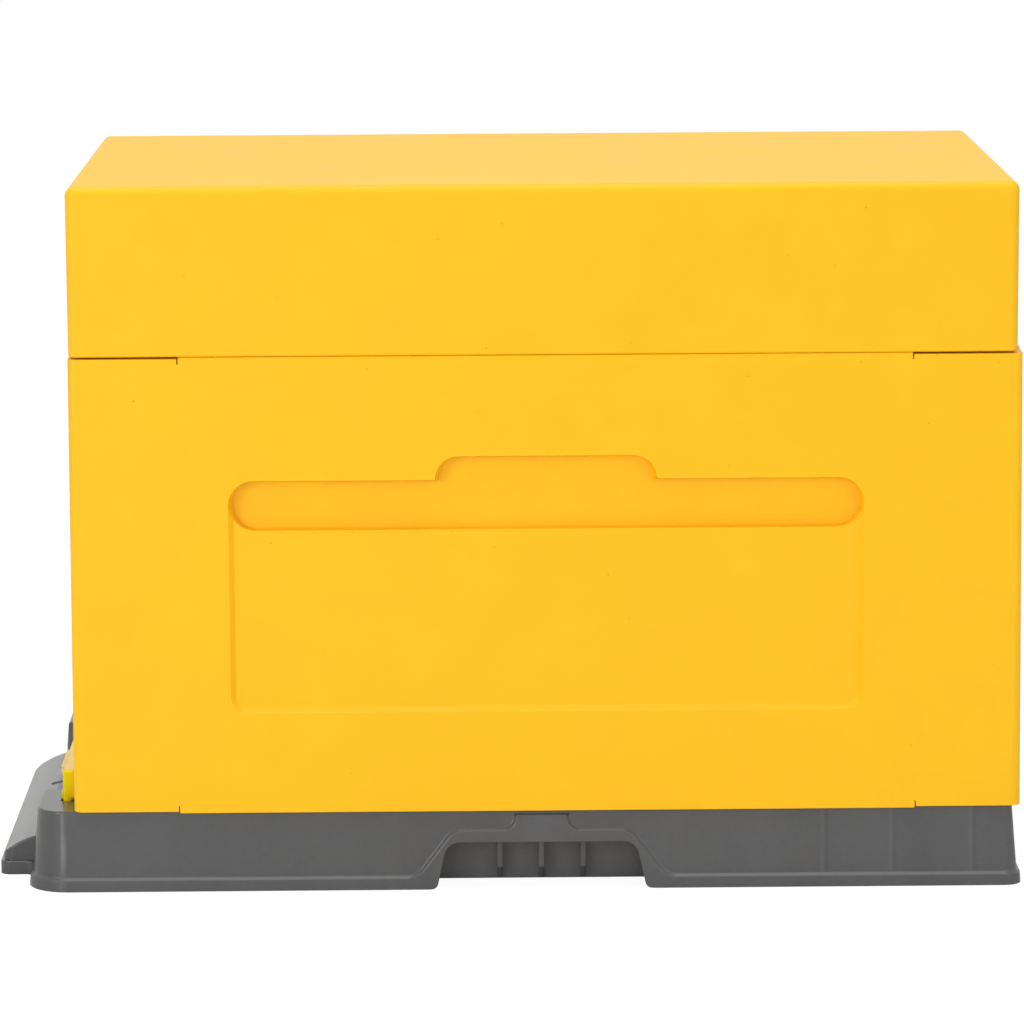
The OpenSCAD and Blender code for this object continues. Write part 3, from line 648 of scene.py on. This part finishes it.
class NUC_OT_floor(bpy.types.Operator):
    """Grey moulded floor with the grid that lies in it"""

    bl_idname = "nuc.floor"
    bl_label = "Floor"

    def execute(self, context):
        finish = context.scene.nuc_finish
        mesh = copy_node("floor_shell")
        bmesh.ops.remove_doubles(mesh, verts=mesh.verts, dist=SLIVER)
        slope_width = RIM_PROUD - SLIVER / 4
        round_edges(
            mesh, (slope_width, lambda e: e.is_convex and self.on_border(e)), segments=1, free=True
        )
        bmesh.ops.remove_doubles(mesh, verts=mesh.verts, dist=SLIVER / 2)
        round_edges(
            mesh,
            (finish.moulded_edge, lambda e: e.is_convex and self.on_hold(e)),
            (finish.border_edge, lambda e: self.on_slope(e, slope_width)),
            (finish.deck_edge, lambda e: e.is_convex and at_height(e, BOX_LOW.z)),
            (finish.rib_edge, lambda e: e.is_convex and self.on_rib(e)),
            (finish.moulded_edge, lambda e: e.is_convex and (self.on_post(e) or self.on_pad(e))),
            (finish.apron_edge, lambda e: e.is_convex and (self.on_apron(e) or self.on_bead(e))),
            free=True,
        )
        add_piece(mesh, "floor_shell", finish_material("moulded_grey", moulded_grey))
        use_material("vent_grid", finish_material("strip_moulding", strip_moulding))
        return {"FINISHED"}

    def leaning(self, edge, inset, low):
        """True above a height on the leaning long sides, as far in as an inset."""
        face_y = FLOOR_HIGH.y - inset
        return all(
            v.co.z > low - WIDE_SLACK and abs(abs(v.co.y) - face_y + FLOOR_LEAN * v.co.z) < WIDE_SLACK
            for v in edge.verts
        )

    def on_hold(self, edge):
        """True on the edge of a hand hold, where one of the two faces looks down."""
        over = min(face.normal.z for face in edge.link_faces) < OVERHANGING
        return over and self.leaning(edge, 0.0, 0.0) and not at_height(edge, 0.0)

    def on_border(self, edge):
        """True on the upper edges of the rim bead and the raised band, but for the top of its tab."""
        on_band = self.leaning(edge, 0.0, RIM_TOP) and not self.on_hold(edge) and not self.on_tab(edge)
        return on_band or (at_height(edge, RIM_TOP) and not self.on_bead(edge))

    def on_tab(self, edge):
        """True on the level top of the tab that rises from the raised band."""
        return all(vert.co.z > TAB_LOW for vert in edge.verts) and is_level(edge)

    def on_bead(self, edge):
        """True on the rim bead around the landing apron."""
        return at_height(edge, RIM_TOP) and all(
            v.co.x < APRON_BACK and abs(v.co.y) < APRON_HALF for v in edge.verts
        )

    def on_slope(self, edge, slope_width):
        """True on either side of the sloping edge of the rim bead and the raised band."""
        low = RIM_TOP - slope_width
        level = at_height(edge, low, WIDE_SLACK) or at_height(edge, RIM_TOP, WIDE_SLACK)
        beside = level or self.leaning(edge, 0.0, low) or self.leaning(edge, RIM_PROUD, RIM_TOP)
        return beside and not self.on_bead(edge)

    def on_post(self, edge):
        return any(vert.co.z > POST_LOW for vert in edge.verts)

    def on_apron(self, edge):
        """True above the rim bead in front of the porch."""
        return all(v.co.x < APRON_BACK and RIM_TOP < v.co.z < APRON_TOP for v in edge.verts)

    def on_pad(self, edge):
        return self.on_apron(edge) and all(
            abs(v.co.y) < PAD_HALF and v.co.x > PAD_FRONT for v in edge.verts
        )

    def on_rib(self, edge):
        """True on the three ribs behind each hand hold."""
        return all(
            abs(v.co.x - BOX_X) < RIBS_HALF and RIB_IN < abs(v.co.y) < RIB_OUT and v.co.z < RIB_TOP
            for v in edge.verts
        )


class NUC_OT_tray(bpy.types.Operator):
    """Inspection tray under the grid"""

    bl_idname = "nuc.tray"
    bl_label = "Inspection tray"

    def execute(self, context):
        finish = context.scene.nuc_finish
        soften_node("inspection_tray", finish_material("white_moulding", white_moulding), finish.sheet_edge)
        return {"FINISHED"}


class NUC_OT_gate(bpy.types.Operator):
    """Lemon entrance gate"""

    bl_idname = "nuc.gate"
    bl_label = "Entrance gate"

    def execute(self, context):
        finish = context.scene.nuc_finish
        mesh = copy_node("entrance_gate")
        low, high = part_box("entrance_gate")
        self.blend_lips(mesh, low, high)
        half = high.y - WIDE_SLACK
        round_edges(mesh, (finish.gate_edge, lambda e: all(abs(v.co.y) > half for v in e.verts)), free=True)
        round_edges(
            mesh, (finish.sheet_edge, lambda e: any(abs(v.co.y) < half for v in e.verts)), segments=2
        )
        add_piece(mesh, "entrance_gate", finish_material("lemon_plastic", lemon_plastic))
        return {"FINISHED"}

    def blend_lips(self, mesh, low, high):
        """Slopes the top of the two lips down to the bar and tapers their outer ends."""
        lips = [vert for vert in mesh.verts if vert.co.z > high.z - SLACK]
        back = max(vert.co.x for vert in lips)
        for vert in lips:
            if vert.co.x > back - SLACK:
                vert.co.z -= LIP_PROUD - SLACK
        front = [vert for vert in mesh.verts if vert.co.x < low.x + SLACK]
        end = max(abs(vert.co.y) for vert in front)
        for vert in front:
            if abs(vert.co.y) > end - SLACK:
                vert.co.y -= math.copysign(LIP_TAPER, vert.co.y)


class NUC_OT_frames(bpy.types.Operator):
    """Wooden frames with wax sheets"""

    bl_idname = "nuc.frames"
    bl_label = "Frames"

    def execute(self, context):
        finish = context.scene.nuc_finish
        for node in BAR_NODES:
            upright = node.endswith("side_bars")
            name, make = ("wood_upright", wood_upright) if upright else ("wood_along", wood_along)
            soften_node(node, finish_material(name, make), finish.wood_edge)
        for node in WAX_NODES:
            soften_node(node, finish_material("cell_wax", cell_wax), finish.sheet_edge)
        return {"FINISHED"}


class NUC_OT_feeder(bpy.types.Operator):
    """Clear crown board and the feeder on it"""

    bl_idname = "nuc.feeder"
    bl_label = "Crown board and feeder"

    def execute(self, context):
        finish = context.scene.nuc_finish
        for node in ("crown_board", "feeder_cup", "feeder_lid"):
            soften_node(node, finish_material("clear_plastic", clear_plastic), finish.sheet_edge)
        soften_node("feeder_tub", finish_material("white_moulding", white_moulding), finish.sheet_edge)
        return {"FINISHED"}


class NUC_OT_stage(bpy.types.Operator):
    """Camera, light and white ground"""

    bl_idname = "nuc.stage"
    bl_label = "Stage"

    def execute(self, context):
        scene = context.scene
        settings = scene.nuc_stage
        camera = self.add_camera(settings)
        scene.camera = camera
        scene.view_settings.view_transform = "Standard"
        self.light_world(scene, settings.sky)
        powers = {
            "key": settings.key_power, "fill": settings.fill_power, "top": settings.top_power,
            "strip": settings.strip_power,
        }
        lights = [self.add_light(name, power) for name, power in powers.items()]
        self.add_ground()
        return {"FINISHED"}

    def add_camera(self, settings):
        yaw, pitch, roll = settings.camera_yaw, settings.camera_pitch, settings.camera_roll
        right = Vector((math.cos(yaw), -math.sin(yaw), 0.0))
        ahead = Vector((math.sin(yaw) * math.cos(pitch), math.cos(yaw) * math.cos(pitch), -math.sin(pitch)))
        up = right.cross(ahead)
        side = right * math.cos(roll) + up * math.sin(roll)
        rise = up * math.cos(roll) - right * math.sin(roll)
        data = bpy.data.cameras.new("camera")
        data.sensor_width = SENSOR_WIDTH
        data.lens = settings.lens
        camera = bpy.data.objects.new("camera", data)
        turn = Matrix((side, rise, -ahead)).transposed().to_4x4()
        camera.matrix_world = Matrix.Translation(settings.camera_place) @ turn
        bpy.context.scene.collection.objects.link(camera)
        return camera

    def add_light(self, name, power):
        """A panel that faces the upper part of the box."""
        place, width, height = LIGHTS[name]
        target = Vector((BOX_X, 0.0, BOX_HIGH.z * AIM_SHARE))
        data = bpy.data.lights.new(name, "AREA")
        data.energy = power
        data.shape = "RECTANGLE"
        data.size = width
        data.size_y = height
        light = bpy.data.objects.new(name, data)
        light.location = place
        light.rotation_euler = (target - Vector(place)).to_track_quat("-Z", "Y").to_euler()
        bpy.context.scene.collection.objects.link(light)
        return light

    def light_world(self, scene, strength):
        """White for rays that show the surroundings, softer for the light that they give."""
        world = scene.world or bpy.data.worlds.new("world")
        scene.world = world
        world.use_nodes = True
        tree = world.node_tree
        tree.nodes.clear()
        path = tree.nodes.new("ShaderNodeLightPath").outputs
        shown = calc(tree, "MAXIMUM", path["Is Camera Ray"], path["Is Glossy Ray"])
        shown = calc(tree, "MAXIMUM", shown, path["Is Transmission Ray"])
        light = add_node(tree, "ShaderNodeBackground", Color=WHITE, Strength=strength)
        backdrop = add_node(tree, "ShaderNodeBackground", Color=WHITE, Strength=1.0)
        out = tree.nodes.new("ShaderNodeOutputWorld")
        set_input(tree, out, "Surface", mix_shaders(tree, shown, light.outputs[0], backdrop.outputs[0]))

    def add_ground(self):
        """White ground that keeps a faint shadow."""
        data = bpy.data.meshes.new("ground")
        half = GROUND_HALF
        corners = [(-half, -half, 0.0), (half, -half, 0.0), (half, half, 0.0), (-half, half, 0.0)]
        data.from_pydata(corners, [], [(0, 1, 2, 3)])
        ground = bpy.data.objects.new("ground", data)
        bpy.context.scene.collection.objects.link(ground)
        material, tree, shader = start_material("ground", Base_Color=GROUND_GREY, Roughness=1.0)
        glow = add_node(tree, "ShaderNodeEmission", Color=WHITE, Strength=GROUND_GLOW)
        path = tree.nodes.new("ShaderNodeLightPath").outputs
        shown = calc(tree, "MULTIPLY", path["Is Camera Ray"], GROUND_GLOW_SHARE)
        surface = mix_shaders(tree, shown, shader.outputs[0], glow.outputs[0])
        set_input(tree, tree.nodes["Material Output"], "Surface", surface)
        data.materials.append(material)
        return ground


OPERATORS = (
    NUC_OT_floor, NUC_OT_tray, NUC_OT_gate, NUC_OT_box, NUC_OT_frames, NUC_OT_feeder, NUC_OT_roof,
    NUC_OT_stage,
)


class NUC_PT_panel(bpy.types.Panel):
    """Buttons for the pieces and the stage"""

    bl_idname = "NUC_PT_panel"
    bl_label = "Nuc box"
    bl_space_type = "VIEW_3D"
    bl_region_type = "UI"
    bl_category = "Nuc box"

    def draw(self, context):
        for operator in OPERATORS:
            self.layout.operator(operator.bl_idname)
        for group in (context.scene.nuc_finish, context.scene.nuc_stage):
            column = self.layout.column()
            for name in group.__annotations__:
                column.prop(group, name)


CLASSES = (NucFinish, NucStage, *OPERATORS, NUC_PT_panel)


def register():
    for cls in CLASSES:
        bpy.utils.register_class(cls)
    bpy.types.Scene.nuc_finish = PointerProperty(type=NucFinish)
    bpy.types.Scene.nuc_stage = PointerProperty(type=NucStage)


def unregister():
    del bpy.types.Scene.nuc_stage
    del bpy.types.Scene.nuc_finish
    for cls in reversed(CLASSES):
        bpy.utils.unregister_class(cls)


def main():
    register()
    bpy.ops.nuc.floor()
    bpy.ops.nuc.tray()
    bpy.ops.nuc.gate()
    bpy.ops.nuc.box()
    bpy.ops.nuc.frames()
    bpy.ops.nuc.feeder()
    bpy.ops.nuc.roof()
    bpy.ops.nuc.stage()


if __name__ == "__main__":
    main()
